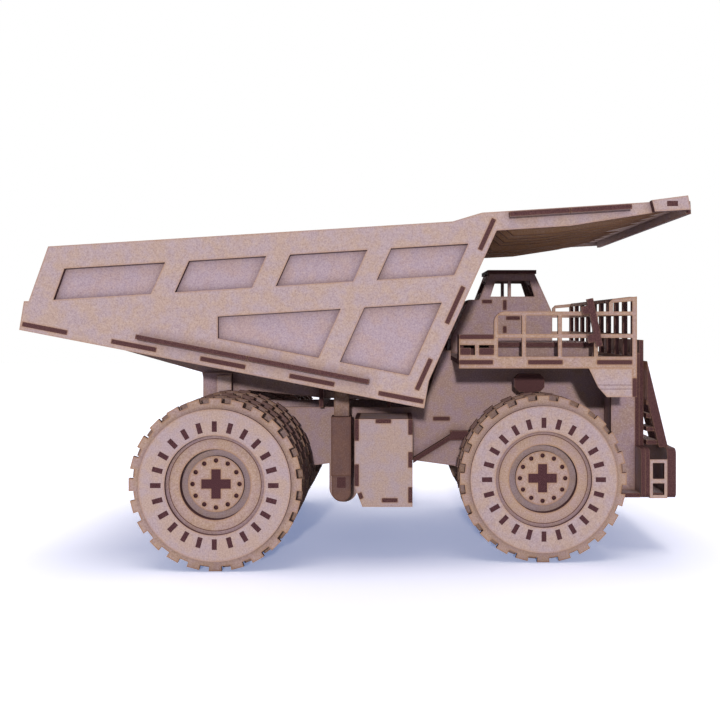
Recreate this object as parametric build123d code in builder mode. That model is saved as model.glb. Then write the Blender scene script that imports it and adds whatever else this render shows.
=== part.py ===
"""Laser-cut wooden model of a mining dump truck: interlocking 3 mm sheet, rolling wheels, tipping bed.

+X points forward, +Y to the truck's left, +Z up; millimetres. The origin lies on the ground under the
middle of the model. Every plate is one sheet thick, and its tabs fill the slots of the plates it meets.
"""
from build123d import *
from math import atan2, cos, degrees, radians, sin, tan
import os

os.makedirs("parts", exist_ok=True)

# Sheet and fits
sheet = 3.0
bearing_gap = 0.1        # radial play of a shaft in its hole
side_play = 0.7          # gap between plates that move past each other
stop_gap = 0.5           # gap under the bed where it rests

# Axles and wheels
tyre_radius = 55.0
tyre_width = 39.0
tooth_count = 24
tooth_depth = 3.0
tooth_share = 0.57       # part of the pitch that a tooth fills
sidewall_radius = 48.3
sidewall_hole_radius = 31.6
tyre_bore_radius = 34.0
drum_radius = 46.0
rim_hole_radius = 22.5
hub_radius = 17.9
axle_span = 18.8         # tip to tip of the cross-shaped axle
axle_arm = 2 * sheet
wheelbase = 212.0
rear_axle_x = -93.0
front_axle_x = rear_axle_x + wheelbase
tooth_pitch = 360 / tooth_count
tooth_half = tooth_pitch * tooth_share / 2
tooth_tip_radius = tyre_radius / cos(radians(tooth_half))
axle_z = tooth_tip_radius * cos(radians(tooth_pitch / 2 - tooth_half))

# Chassis
chassis_half_width = 35.0
rail_top_z = 97.0
belly_z = 56.0
axle_lobe_radius = 15.0
strut_y = chassis_half_width + 15.0
strut_gap = 7.0          # suspension strut to the front tyre
wheel_gap = 3.0          # pivot strip to the inner rear tyre
dual_gap = 2 * sheet     # between the two tyres of a rear pair
rear_track_face = chassis_half_width + sheet + wheel_gap + 2 * tyre_width + dual_gap
front_track_face = strut_y + 2 * sheet + strut_gap + tyre_width
deck_z = 131.0           # underside of the deck
bumper_base_z = 38.0

# Bed
bed_rear_x = -213.6
bed_rear_z = 153.5       # lower rear corner of the bed side
bed_front_x = front_axle_x - 79.6
bed_front_z = 104.5      # lower front corner
bed_half_width = 132.0
bed_top_rear_x = bed_rear_x + 18.1
bed_top_rear_z = 205.7
rail_angle = 3.53        # rise of the top rail towards the front
front_angle = 65.7       # slope of the bed's front
tail_angle = 70.4        # slope of its rear edge
pivot_x = rear_axle_x - 14.4
pivot_z = 102.0
pivot_radius = 4.0


def side(y):
    """Plane seen from the right: local axes X and Z, with the normal towards -Y."""
    return Plane(origin=(0, y, 0), x_dir=(1, 0, 0), z_dir=(0, -1, 0))


def across(x):
    """Plane across the truck: local axes Y and Z, with the normal towards +X."""
    return Plane(origin=(x, 0, 0), x_dir=(0, 1, 0), z_dir=(1, 0, 0))


def level(z):
    """Level plane: local axes X and Y, with the normal up."""
    return Plane.XY.offset(z)


def outline(plane, *loops):
    """Face bounded by the first loop of points, with the other loops as holes."""
    with BuildSketch(plane) as face:
        with BuildLine():
            Polyline(*loops[0], close=True)
        make_face()
        for loop in loops[1:]:
            with BuildLine():
                Polyline(*loop, close=True)
            make_face(mode=Mode.SUBTRACT)
    return face.sketch


def faces(loops):
    """Faces bounded by closed loops of points, for the sketch being drawn around them."""
    with BuildSketch() as section:
        for loop in loops:
            with BuildLine():
                Polyline(*loop, close=True)
            make_face()
    return section.sketch


def box_loop(low_u, high_u, low_v, high_v):
    """Corners of a rectangle in a plane's own axes."""
    return [(low_u, low_v), (high_u, low_v), (high_u, high_v), (low_u, high_v)]


def block(low_x, high_x, low_y, high_y, low_z, high_z):
    """Upright block between six planes, joined to the part being built."""
    extrude(outline(level(low_z), box_loop(low_x, high_x, low_y, high_y)), amount=high_z - low_z)


def cut_block(low_x, high_x, low_y, high_y, low_z, high_z):
    """The same block, cut away from the part being built."""
    extrude(
        outline(level(low_z), box_loop(low_x, high_x, low_y, high_y)),
        amount=high_z - low_z,
        mode=Mode.SUBTRACT,
    )


def both_sides():
    """Repeats the part being built on the truck's other side."""
    mirror(about=Plane.XZ)


def save(builder, name):
    builder.part.label = name
    export_step(builder.part, f"parts/{name}.step")


def rail_line(depth):
    """Slope and height at X = 0 of a line that runs this far below the bed's top rail."""
    slope = tan(radians(rail_angle))
    return slope, bed_top_rear_z - slope * bed_top_rear_x - depth


def keel_line(height):
    """The same for a line this far above the bed's lower edge."""
    slope = (bed_front_z - bed_rear_z) / (bed_front_x - bed_rear_x)
    return slope, bed_rear_z - slope * bed_rear_x + height


def along(start, angle, low_run, high_run, low_offset, high_offset):
    """Rectangle in the XZ plane laid along a line that leaves a point at an angle."""
    slope = radians(angle)
    corners = [(low_run, low_offset), (high_run, low_offset), (high_run, high_offset), (low_run, high_offset)]
    return [
        (start[0] + run * cos(slope) - rise * sin(slope), start[1] + run * sin(slope) + rise * cos(slope))
        for run, rise in corners
    ]


def through(points, half_width):
    """Extrudes a side outline right across the truck, symmetrically."""
    extrude(outline(side(half_width), points), amount=2 * half_width)


def on_line(line, x):
    return x, line[0] * x + line[1]


def crossing(line, x, z, angle):
    """Where a sloping line meets the line through (x, z) that rises at an angle."""
    run = (line[0] * x + line[1] - z) / (tan(radians(angle)) - line[0])
    return x + run, z + run * tan(radians(angle))


def toothed_profile(phase):
    """Tyre ring with straight-tipped teeth; phase is a share of the tooth pitch."""
    root = tyre_radius - tooth_depth
    points = []
    for tooth in range(tooth_count):
        middle = 90 + (tooth + phase) * tooth_pitch
        flanks = ((root, -1), (tooth_tip_radius, -1), (tooth_tip_radius, 1), (root, 1))
        for radius, flank in flanks:
            angle = radians(middle + flank * tooth_half)
            points.append((radius * cos(angle), radius * sin(angle)))
    return points


def wheel_face(y, axle_x):
    """Plane of a wheel disc, with its centre on the axle and its normal towards -Y."""
    return Plane(origin=(axle_x, y, axle_z), x_dir=(1, 0, 0), z_dir=(0, -1, 0))


def make_tyre(name, axle_x, outer_y, sign):
    """Tread: a toothed ring at each face, half a pitch apart, on a drum with a flat for each tooth."""
    faces = [(outer_y - sheet, 0), (outer_y - tyre_width + 2 * sheet, 0.5)]
    with BuildPart() as tyre:
        with BuildSketch(wheel_face(-(outer_y - tyre_width + sheet), axle_x)):
            RegularPolygon(drum_radius, tooth_count)
            RegularPolygon(tyre_bore_radius, tooth_count, mode=Mode.SUBTRACT)
        extrude(amount=tyre_width - 2 * sheet)
        for face_y, phase in faces:
            with BuildSketch(wheel_face(-face_y, axle_x)):
                with BuildLine():
                    Polyline(*toothed_profile(phase), close=True)
                make_face()
                RegularPolygon(tyre_bore_radius, tooth_count, mode=Mode.SUBTRACT)
            extrude(amount=-sheet)
        if sign > 0:
            mirror(about=Plane.XZ, mode=Mode.REPLACE)
    save(tyre, name)


def cross_shape():
    """Section of an axle: two crossed bars, each two sheets thick."""
    with BuildSketch() as section:
        Rectangle(axle_span, axle_arm)
        Rectangle(axle_arm, axle_span)
    return section.sketch


# Wheel sets: each is one cross-shaped axle with its wheels, and turns as a whole
disc_inset = 3 * sheet       # outer face of a tyre to the outer face of its wheel disc
rear_inner_face = rear_track_face - tyre_width - dual_gap
axle_corner_radius = ((axle_span / 2) ** 2 + (axle_arm / 2) ** 2) ** 0.5
axle_hole_radius = axle_corner_radius + bearing_gap

for hand, sign in (("right", -1), ("left", 1)):
    make_tyre(f"tyre_front_{hand}", front_axle_x, front_track_face, sign)
    make_tyre(f"tyre_rear_{hand}_outer", rear_axle_x, rear_track_face, sign)
    make_tyre(f"tyre_rear_{hand}_inner", rear_axle_x, rear_inner_face, sign)


def round_sidewall():
    """Outermost sidewall of a wheel."""
    with BuildSketch() as section:
        Circle(sidewall_radius)
        Circle(sidewall_hole_radius, mode=Mode.SUBTRACT)
    return section.sketch


def faceted_sidewall():
    """Sidewall inside the wheel set, with a flat for each tooth."""
    with BuildSketch() as section:
        RegularPolygon(sidewall_radius, tooth_count)
        RegularPolygon(sidewall_hole_radius, tooth_count, mode=Mode.SUBTRACT)
    return section.sketch


def bore_disc():
    """Wheel disc that fills a tyre's bore, with the axle's cross cut out of it."""
    with BuildSketch() as section:
        RegularPolygon(tyre_bore_radius, tooth_count)
        add(cross_shape(), mode=Mode.SUBTRACT)
    return section.sketch


def bore_ring():
    """Ring that fills a tyre's bore around the hub."""
    with BuildSketch() as section:
        RegularPolygon(tyre_bore_radius, tooth_count)
        Circle(rim_hole_radius, mode=Mode.SUBTRACT)
    return section.sketch


def on_wheel(section, outer_y, axle_x, thickness=sheet):
    """Adds a section to the part, from its outer face inwards."""
    extrude(wheel_face(-outer_y, axle_x) * section, amount=-thickness)


def make_wheel_set(end, axle_x, faces):
    """Everything but the tyres of one axle.

    faces holds the outer face of each tyre on one side. A disc closes the outermost and the innermost bore.
    """
    outermost = faces[0]
    with BuildPart() as sidewalls:
        on_wheel(round_sidewall(), outermost, axle_x)
        for hidden_y in [face_y - tyre_width + sheet for face_y in faces] + faces[1:]:
            on_wheel(faceted_sidewall(), hidden_y, axle_x)
        both_sides()
    save(sidewalls, f"{end}_sidewalls")

    with BuildPart() as discs:
        for disc_y in (outermost - disc_inset, faces[-1] - tyre_width + 2 * sheet):
            on_wheel(bore_disc(), disc_y, axle_x)
        both_sides()
    save(discs, f"{end}_wheel_discs")

    with BuildPart() as rims:
        on_wheel(bore_ring(), outermost - sheet, axle_x, 2 * sheet)
        with BuildSketch() as hub_section:
            Circle(hub_radius)
            add(cross_shape(), mode=Mode.SUBTRACT)
        on_wheel(hub_section.sketch, outermost - disc_inset + sheet, axle_x)
        both_sides()
    save(rims, f"{end}_rims_and_hubs")

    with BuildPart() as axle:
        axle_end = outermost - disc_inset + sheet
        on_wheel(cross_shape(), axle_end, axle_x, 2 * axle_end)
    save(axle, f"{end}_axle")


make_wheel_set("rear", rear_axle_x, [rear_track_face, rear_inner_face])
make_wheel_set("front", front_axle_x, [front_track_face])


# Chassis: two side plates joined by cross plates and level plates with through tabs
side_in = chassis_half_width - sheet
post_half_width = 10.5
post_top_z = 122.0
deck_front_x = front_axle_x + 55.5
engine_rear_x = front_axle_x - 57.1      # where the side plates meet the deck
engine_rear_z = deck_z + 7.0             # the side plates rise behind the deck's rear edge
grille_x = front_axle_x + 70.7           # rear face of the grille
hoist_x = rear_axle_x + 77.0
hoist_z = 47.0                           # pin at the foot of each hoist
hoist_y = chassis_half_width + 25.0
hoist_pin_width = 6.0
hoist_pin_height = 7.4
hoist_pin_radius = ((hoist_pin_width / 2) ** 2 + (hoist_pin_height / 2) ** 2) ** 0.5
hoist_lobe_radius = 10.3
hoist_lobe_z = hoist_z - 8.6
cross_plate_low_z = 66.0
cross_plate_high_z = 90.0
cross_tab_low_z = 72.0
cross_tab_high_z = 84.0
cross_plate_places = [
    pivot_x - post_half_width + sheet,
    rear_axle_x + 38.0,
    hoist_x + 24.0,
    engine_rear_x + 16.0,
    front_axle_x - 28.0,
    front_axle_x + 30.0,
]
shelf_z = 87.0                           # level plate behind the engine
shelf_rear_x = engine_rear_x - 30.0
shelf_front_x = engine_rear_x + 20.0
shelf_tab_rear_x = engine_rear_x - 13.0
shelf_tab_front_x = engine_rear_x - 0.7

chassis_profile = [
    (rear_axle_x - axle_lobe_radius, axle_z),
    (pivot_x - post_half_width, pivot_z - 25),
    (pivot_x - post_half_width, post_top_z),
    (pivot_x + post_half_width, post_top_z),
    (pivot_x + post_half_width, rail_top_z + 6),
    (pivot_x + post_half_width + 12, rail_top_z),
    (bed_front_x + 2.6, rail_top_z),
    (engine_rear_x - 6.4, engine_rear_z),
    (engine_rear_x, engine_rear_z),
    (engine_rear_x, deck_z),
    (grille_x, deck_z),
    (grille_x, bumper_base_z + sheet),
    (front_axle_x, axle_z - axle_lobe_radius),
    (front_axle_x - 11.0, axle_z - 10.5),
    (front_axle_x - 55.6, belly_z - 1.5),
    (bed_front_x - 9.4, belly_z + 3.0),
    (hoist_x + 12.0, belly_z + 3.0),
    (rear_axle_x + 50.0, belly_z - 2.0),
    (rear_axle_x + 9.0, axle_z - 11.5),
]

with BuildPart() as chassis_side_plates:
    with BuildSketch(side(-side_in)):
        with BuildLine():
            Polyline(*chassis_profile, close=True)
        make_face()
        for axle_x in (rear_axle_x, front_axle_x):
            with Locations((axle_x, axle_z)):
                Circle(axle_lobe_radius)
                Circle(axle_hole_radius, mode=Mode.SUBTRACT)
        with Locations((hoist_x, hoist_lobe_z)):
            Circle(hoist_lobe_radius)
        with Locations((hoist_x, (hoist_lobe_z + belly_z) / 2 + 3)):
            Rectangle(2 * hoist_lobe_radius, belly_z - hoist_lobe_z + 6)
        with Locations((hoist_x, hoist_z)):
            Circle(hoist_pin_radius + bearing_gap, mode=Mode.SUBTRACT)
        with Locations((pivot_x, pivot_z)):
            Circle(pivot_radius + bearing_gap, mode=Mode.SUBTRACT)
        for plate_x in cross_plate_places:
            with BuildLine():
                Polyline(*box_loop(plate_x, plate_x + sheet, cross_tab_low_z, cross_tab_high_z), close=True)
            make_face(mode=Mode.SUBTRACT)
        with BuildLine():
            Polyline(*box_loop(shelf_tab_rear_x, shelf_tab_front_x, shelf_z, shelf_z + sheet), close=True)
        make_face(mode=Mode.SUBTRACT)
    extrude(amount=sheet)
    both_sides()
save(chassis_side_plates, "chassis_side_plates")

with BuildPart() as chassis_cross_plates:
    for plate_x in cross_plate_places:
        block(plate_x, plate_x + sheet, -side_in, side_in, cross_plate_low_z, shelf_z)
        through(box_loop(plate_x, plate_x + sheet, cross_tab_low_z, cross_tab_high_z), chassis_half_width)
save(chassis_cross_plates, "chassis_cross_plates")

# Ledges on the outside of the chassis climb from the tanks to a step beside the engine
ledge_foot = (hoist_x + 50.4, belly_z + 4.7)
ledge_step = (hoist_x + 77.2, belly_z + 21.4)
ledge_step_high_z = ledge_step[1] + 2.9
ledge_step_low_z = ledge_step_high_z - 6.6
ledge_end_x = ledge_step[0] + 12.8
ledge_profile = [
    ledge_foot,
    ledge_step,
    (ledge_step[0], ledge_step_high_z),
    (ledge_end_x, ledge_step_high_z),
    (ledge_end_x, ledge_step_low_z),
    (ledge_step[0], ledge_step_low_z),
    (ledge_foot[0], ledge_foot[1] - 3.6),
]
with BuildPart() as chassis_shelf:
    block(shelf_rear_x, shelf_front_x, -side_in, side_in, shelf_z, shelf_z + sheet)
    through(box_loop(shelf_tab_rear_x, shelf_tab_front_x, shelf_z, shelf_z + sheet), chassis_half_width)
    extrude(outline(side(-chassis_half_width), ledge_profile), amount=2 * sheet)
    extrude(outline(side(chassis_half_width + 2 * sheet), ledge_profile), amount=2 * sheet)
save(chassis_shelf, "chassis_shelf")

with BuildPart() as pivot_strips:
    with BuildSketch(side(-chassis_half_width)):
        with Locations((pivot_x + post_half_width / 2, (pivot_z - 25 + post_top_z - 2) / 2)):
            Rectangle(post_half_width, post_top_z - 2 - pivot_z + 25)
        with Locations((pivot_x, pivot_z)):
            Circle(pivot_radius + bearing_gap, mode=Mode.SUBTRACT)
    extrude(amount=sheet)
    both_sides()
save(pivot_strips, "pivot_strips")

# Fuel tanks: boxes of three pairs of plates on the outside of the chassis
tank_rear_x = hoist_x + 9.8
tank_front_x = tank_rear_x + 39.4
tank_low_z = 33.0
tank_high_z = 92.7
tank_out_y = chassis_half_width + 45.0
tank_chamfer_x = 5.3
tank_chamfer_z = 14.0
tank_tab = 10.8
front_tabs = [
    (tank_low_z + 2.7, tank_low_z + 2.7 + tank_tab),
    (tank_low_z + 26.6, tank_low_z + 26.6 + tank_tab),
    (tank_high_z - tank_tab, tank_high_z),
]
rear_tabs = [
    (tank_low_z + tank_chamfer_z, tank_low_z + tank_chamfer_z + 15.0),
    (tank_high_z - 14.9, tank_high_z),
]
chamfer_top = (tank_rear_x, tank_low_z + tank_chamfer_z)
chamfer_angle = -degrees(atan2(tank_chamfer_z, tank_chamfer_x))
chamfer_length = (tank_chamfer_x ** 2 + tank_chamfer_z ** 2) ** 0.5
chamfer_tab = 4.4
chamfer_tab_low = (chamfer_length - chamfer_tab) / 2
chamfer_tab_high = chamfer_tab_low + chamfer_tab
lid_z = tank_high_z - sheet
base_z = tank_low_z + sheet
lid_tab_x = (tank_rear_x + 14.2, tank_rear_x + 14.2 + tank_tab)
base_tab_x = (tank_rear_x + 18.5, tank_rear_x + 18.5 + tank_tab)

tank_profile = [
    (tank_rear_x, tank_high_z),
    (tank_front_x, tank_high_z),
    (tank_front_x, tank_low_z),
    (tank_rear_x + tank_chamfer_x, tank_low_z),
    chamfer_top,
]
end_tab_loops = [box_loop(tank_front_x - sheet, tank_front_x, *tab) for tab in front_tabs]
end_tab_loops += [box_loop(tank_rear_x, tank_rear_x + sheet, *tab) for tab in rear_tabs]
lid_tab_loops = [
    box_loop(*lid_tab_x, lid_z, tank_high_z),
    box_loop(*base_tab_x, base_z, base_z + sheet),
    along(chamfer_top, chamfer_angle, chamfer_tab_low, chamfer_tab_high, 0, sheet),
]
with BuildPart() as tank_side_plates:
    for outer_y in (chassis_half_width + sheet, tank_out_y):
        extrude(outline(side(-outer_y), tank_profile, *end_tab_loops, *lid_tab_loops), amount=-sheet)
    both_sides()
save(tank_side_plates, "tank_side_plates")

inner_wall_y = chassis_half_width + sheet
outer_wall_y = tank_out_y - sheet
chamfer_start = sheet * cos(radians(-chamfer_angle)) + 0.2    # clear of the end plate's foot
with BuildPart() as tank_end_plates:
    block(tank_front_x - sheet, tank_front_x, inner_wall_y, outer_wall_y, tank_low_z, tank_high_z)
    block(tank_rear_x, tank_rear_x + sheet, inner_wall_y, outer_wall_y, chamfer_top[1], tank_high_z)
    for tab in end_tab_loops:
        extrude(outline(side(tank_out_y), tab), amount=tank_out_y - chassis_half_width)
    both_sides()
save(tank_end_plates, "tank_end_plates")

with BuildPart() as tank_lids:
    block(tank_rear_x + sheet, tank_front_x - sheet, inner_wall_y, outer_wall_y, lid_z, tank_high_z)
    base_rear_x = tank_rear_x + tank_chamfer_x + sheet
    block(base_rear_x, tank_front_x - sheet, inner_wall_y, outer_wall_y, base_z, base_z + sheet)
    chamfer_plate = along(chamfer_top, chamfer_angle, chamfer_start, chamfer_length - chamfer_start, 0, sheet)
    extrude(outline(side(outer_wall_y), chamfer_plate), amount=outer_wall_y - inner_wall_y)
    for tab in lid_tab_loops:
        extrude(outline(side(tank_out_y), tab), amount=tank_out_y - chassis_half_width)
    both_sides()
save(tank_lids, "tank_lids")

# Suspension struts between the chassis and the front tyres
strut_x = front_axle_x - 3.0
strut_low_z = 68.0
strut_high_z = 109.5
strut_neck = 7.7
strut_cap_width = 21.0
strut_cap_height = 12.5
strut_cap_chamfer = 3.0

with BuildPart() as suspension_struts:
    with BuildSketch(side(-strut_y)):
        with Locations((strut_x, (strut_low_z + strut_high_z) / 2)):
            Rectangle(strut_neck, strut_high_z - strut_low_z)
        with Locations((strut_x, strut_high_z + strut_cap_height / 2)) as cap:
            with BuildSketch(mode=Mode.PRIVATE) as cap_section:
                Rectangle(strut_cap_width, strut_cap_height)
                chamfer(cap_section.vertices(), strut_cap_chamfer)
            add(cap_section.sketch)
    extrude(amount=2 * sheet)
    for arm_z in (strut_low_z, strut_high_z):
        arm_x = (strut_x - strut_neck / 2, strut_x + strut_neck / 2)
        block(*arm_x, -strut_y, -chassis_half_width, arm_z, arm_z + 2 * sheet)
    both_sides()
save(suspension_struts, "suspension_struts")

# Deck, with its fascia and railings
housing_half_width = 58.0
deck_half_width = 112.0
deck_rear_x = engine_rear_x + 0.7
deck_top_z = deck_z + sheet
fascia_low_z = deck_z - 2.5
fascia_high_z = deck_top_z + 2.2
rail_in = deck_half_width - sheet
rail_front_x = deck_front_x + sheet        # the side rails cover the ends of the front rail
rail_bar = 2.6
rail_rear_x = deck_rear_x + 22.6
rail_mid_z = 148.2
rail_top_z_deck = 162.7
rail_corner = 7.0
front_rail_top_z = 175.0
raised_rear_x = deck_front_x - 15.1        # raised frame at the front of each side rail
post_low_z = 122.3
locker_high_z = 150.4
deck_tabs = [(0.0, 22.0), (44.5, 67.0), (89.0, 112.0)]   # along the deck, from its rear edge
rail_posts = [rail_rear_x + 18.0, rail_rear_x + 41.3, rail_rear_x + 64.5]

with BuildPart() as deck_plate:
    block(deck_rear_x, deck_front_x, -rail_in, rail_in, deck_z, deck_top_z)
    for tab_start, tab_end in deck_tabs:
        tab_high_x = min(deck_rear_x + tab_end, deck_front_x)
        block(deck_rear_x + tab_start, tab_high_x, -deck_half_width, deck_half_width, deck_z, deck_top_z)
save(deck_plate, "deck_plate")

raised_profile = [
    (raised_rear_x, rail_top_z_deck + rail_bar),
    (raised_rear_x, front_rail_top_z - 4.0),
    (raised_rear_x + 2.5, front_rail_top_z - 1.5),
    (rail_front_x, front_rail_top_z),
    (rail_front_x, rail_top_z_deck + rail_bar),
]
raised_window = [
    (raised_rear_x + rail_bar, rail_top_z_deck + rail_bar),
    (raised_rear_x + rail_bar, front_rail_top_z - 1.5 - rail_bar),
    (deck_front_x, front_rail_top_z - 0.5 - rail_bar),
    (deck_front_x, rail_top_z_deck + rail_bar),
]

rail_high_z = rail_top_z_deck + rail_bar
locker_lid_z = locker_high_z - sheet
rail_solid_loops = [
    box_loop(deck_rear_x, rail_front_x, fascia_low_z, fascia_high_z),
    box_loop(rail_rear_x, rail_front_x, fascia_high_z, rail_high_z),
    box_loop(deck_front_x, rail_front_x, post_low_z, fascia_low_z),
    raised_profile,
]
rail_rows = [(fascia_high_z, rail_mid_z), (rail_mid_z + rail_bar, rail_top_z_deck)]
rail_bar_lows = [rail_rear_x] + rail_posts + [deck_front_x]
rail_windows = [raised_window]
for window_x, next_x in zip(rail_bar_lows[:-1], rail_bar_lows[1:]):
    for low_z, high_z in rail_rows:
        rail_windows.append(box_loop(window_x + rail_bar, next_x, low_z, high_z))
vent_width = 9.7                           # two vents in the side of each locker
vent_low_z, vent_high_z = fascia_high_z + 1.0, fascia_high_z + 7.4
vent_places = [deck_rear_x + 0.6, rail_rear_x - vent_width]
locker_vents = [box_loop(vent_x, vent_x + vent_width, vent_low_z, vent_high_z) for vent_x in vent_places]
deck_tab_slots = [
    box_loop(deck_rear_x + tab_start, min(deck_rear_x + tab_end, deck_front_x), deck_z, deck_top_z)
    for tab_start, tab_end in deck_tabs
]


with BuildPart() as deck_side_rails:
    with BuildSketch(side(-rail_in)) as rail_section:
        add(faces(rail_solid_loops))
        rear_corner = rail_section.vertices().sort_by_distance((rail_rear_x, rail_high_z))[0]
        fillet(rear_corner, rail_corner)
        add(faces([box_loop(deck_rear_x, rail_rear_x, fascia_high_z, locker_lid_z)]))
        add(faces(rail_windows + locker_vents + deck_tab_slots), mode=Mode.SUBTRACT)
    extrude(amount=sheet)
    both_sides()
save(deck_side_rails, "deck_side_rails")

# Lockers at the rear corners of the deck
locker_depth = 14.0
locker_shelf_ends = [(vent_places[0], vent_places[0] + 7.1), (vent_places[1], vent_places[1] + vent_width)]
with BuildPart() as deck_lockers:
    locker_in = rail_in - locker_depth
    block(deck_rear_x, rail_rear_x, locker_in, rail_in, deck_top_z, locker_lid_z)
    cut_block(deck_rear_x + sheet, rail_rear_x - sheet, locker_in + sheet, rail_in, deck_top_z, locker_lid_z)
    block(deck_rear_x, rail_rear_x, locker_in, deck_half_width, locker_lid_z, locker_high_z)
    for shelf_low_x, shelf_high_x in locker_shelf_ends:
        block(shelf_low_x, shelf_high_x, locker_in + sheet, deck_half_width, vent_low_z, vent_high_z - 1.9)
    both_sides()
save(deck_lockers, "deck_lockers")

# Bare drop plates below the front of each fascia
drop_rear_x = deck_front_x - 28.0
drop_low_z = 110.0
with BuildPart() as drop_plates:
    with BuildSketch(side(-rail_in)):
        with BuildLine():
            Polyline(
                (drop_rear_x, fascia_low_z),
                (drop_rear_x + 5.8, drop_low_z + 6.5),
                (drop_rear_x + 11.6, drop_low_z),
                (deck_front_x, drop_low_z),
                (deck_front_x, fascia_low_z),
                close=True,
            )
        make_face()
    extrude(amount=sheet)
    both_sides()
save(drop_plates, "drop_plates")

# Front railing: one plate across the deck, three rows high between its posts
front_post = 4.0
front_column_count = 9
front_column_pitch = 2 * rail_in / front_column_count
front_step_y = housing_half_width + sheet
front_corner = 5.0
front_rail_rows = [
    (fascia_high_z, rail_mid_z),
    (rail_mid_z + rail_bar, rail_top_z_deck),
    (rail_top_z_deck + rail_bar, front_rail_top_z - rail_bar),
]
front_rail_half = [
    (front_step_y, deck_z),
    (front_step_y, drop_low_z),
    (deck_half_width, drop_low_z),
    (deck_half_width, post_low_z),
    (rail_in, post_low_z),
    (rail_in, front_rail_top_z - front_corner),
    (rail_in - front_corner, front_rail_top_z),
]
front_rail_profile = front_rail_half + [(-y, z) for y, z in reversed(front_rail_half)]
front_rail_windows = []
for column in range(front_column_count):
    middle_y = (column - (front_column_count - 1) / 2) * front_column_pitch
    half_window = (front_column_pitch - front_post) / 2
    for low_z, high_z in front_rail_rows:
        front_rail_windows.append(box_loop(middle_y - half_window, middle_y + half_window, low_z, high_z))
with BuildPart() as deck_front_rail:
    extrude(outline(across(deck_front_x), front_rail_profile, *front_rail_windows), amount=sheet)
save(deck_front_rail, "deck_front_rail")

# Mirrors lean on two arms each, outside the side rails
mirror_width = 4.2
mirror_arm_height = 5.4
mirror_foot = (deck_front_x - 21.6, rail_mid_z - 5.4)
mirror_head = (deck_front_x - 28.0, front_rail_top_z - 1.5)
mirror_lean = degrees(atan2(mirror_head[1] - mirror_foot[1], mirror_head[0] - mirror_foot[0]))
mirror_length = ((mirror_head[0] - mirror_foot[0]) ** 2 + (mirror_head[1] - mirror_foot[1]) ** 2) ** 0.5
mirror_arm_places = [3.5, 22.0]
mirror_arm_reach = 4.4
with BuildPart() as mirror_posts:
    post = along(mirror_foot, mirror_lean, 0, mirror_length, -mirror_width / 2, mirror_width / 2)
    extrude(outline(side(-deck_half_width), post), amount=sheet)
    for arm_run in mirror_arm_places:
        reach = mirror_width / 2 + mirror_arm_reach
        arm = along(mirror_foot, mirror_lean, arm_run, arm_run + mirror_arm_height, 0, reach)
        extrude(outline(side(-deck_half_width), arm), amount=sheet)
    both_sides()
save(mirror_posts, "mirror_posts")

# Raised hood on the right half of the deck
hood_rear_x = rail_rear_x + 1.4
hood_front_x = deck_front_x - 20.5
hood_half_width = 22.0
hood_high_z = 145.0
hood_out_y = 92.0
with BuildPart() as deck_hood:
    block(hood_rear_x, hood_front_x, -hood_out_y, -hood_half_width, deck_top_z, hood_high_z - sheet)
    hood_low_y, hood_high_y = -hood_out_y + sheet, -hood_half_width - sheet
    hood_lid_z = hood_high_z - sheet
    cut_block(hood_rear_x + sheet, hood_front_x - sheet, hood_low_y, hood_high_y, deck_top_z, hood_lid_z)
    block(hood_rear_x, hood_front_x, -hood_out_y - sheet, -hood_half_width + sheet, hood_lid_z, hood_high_z)
save(deck_hood, "deck_hood")

# Cab on the left half of the deck
cab_near_y = 30.0
cab_width = 52.0
cab_rear_x = deck_rear_x + 13.0
cab_front_x = cab_rear_x + 70.6
cab_roof_z = 197.0
cab_sill_z = 167.5
cabinet_high_z = 176.5
cab_roof_rear_x = cab_rear_x + 20.6
cab_roof_front_x = cab_front_x - 14.0
window_low_z = 179.0
window_high_z = 191.3
mullion_x = cab_rear_x + 35.4
mullion = 2.5

cabinet_foot_x = cab_rear_x - 9.8
cabinet_kink_z = deck_top_z + 11.0         # upright below, leaning like the bed's front above
cabinet_lean_height = cabinet_high_z - cabinet_kink_z
cabinet_head_x = cabinet_foot_x + cabinet_lean_height / tan(radians(front_angle))
cabinet_length = cabinet_lean_height / sin(radians(front_angle))
cabinet_tab = (cab_rear_x + 14.8, cab_rear_x + 22.8)
roof_lap = 1.2                             # roof past the cab's sides
cab_floor_z = 160.4
cab_floor_tab = (cab_rear_x + 33.9, cab_rear_x + 45.0)
cab_screen_x = cab_rear_x + 31.4           # upright plate behind the seats
cab_screen_tab = (168.3, 176.2)
cab_foot_tab = (150.0, 155.6)              # lower tab of the same plate

cab_profile = [
    (cabinet_foot_x, deck_top_z),
    (cabinet_foot_x, cabinet_kink_z),
    (cabinet_head_x, cabinet_high_z),
    (cab_rear_x + 12.6, cabinet_high_z),
    (cab_roof_rear_x, cab_roof_z),
    (cab_roof_front_x, cab_roof_z),
    (cab_front_x - 0.6, cab_sill_z),
    (cab_front_x, cab_sill_z - 4),
    (cab_front_x, deck_top_z),
]
cab_rear_window = [
    (cab_rear_x + 21.6, window_low_z),
    (mullion_x, window_low_z),
    (mullion_x, window_high_z),
    (cab_rear_x + 25.6, window_high_z),
]
cab_front_window = [
    (mullion_x + mullion, window_low_z),
    (cab_front_x - 14.1, window_low_z),
    (cab_front_x - 18.1, window_high_z),
    (mullion_x + mullion, window_high_z),
]
cab_slots = [
    box_loop(*cabinet_tab, cabinet_high_z - sheet, cabinet_high_z),
    box_loop(*cab_floor_tab, cab_floor_z, cab_floor_z + sheet),
    box_loop(cab_screen_x, cab_screen_x + sheet, *cab_screen_tab),
    box_loop(cab_screen_x, cab_screen_x + sheet, *cab_foot_tab),
]
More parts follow.
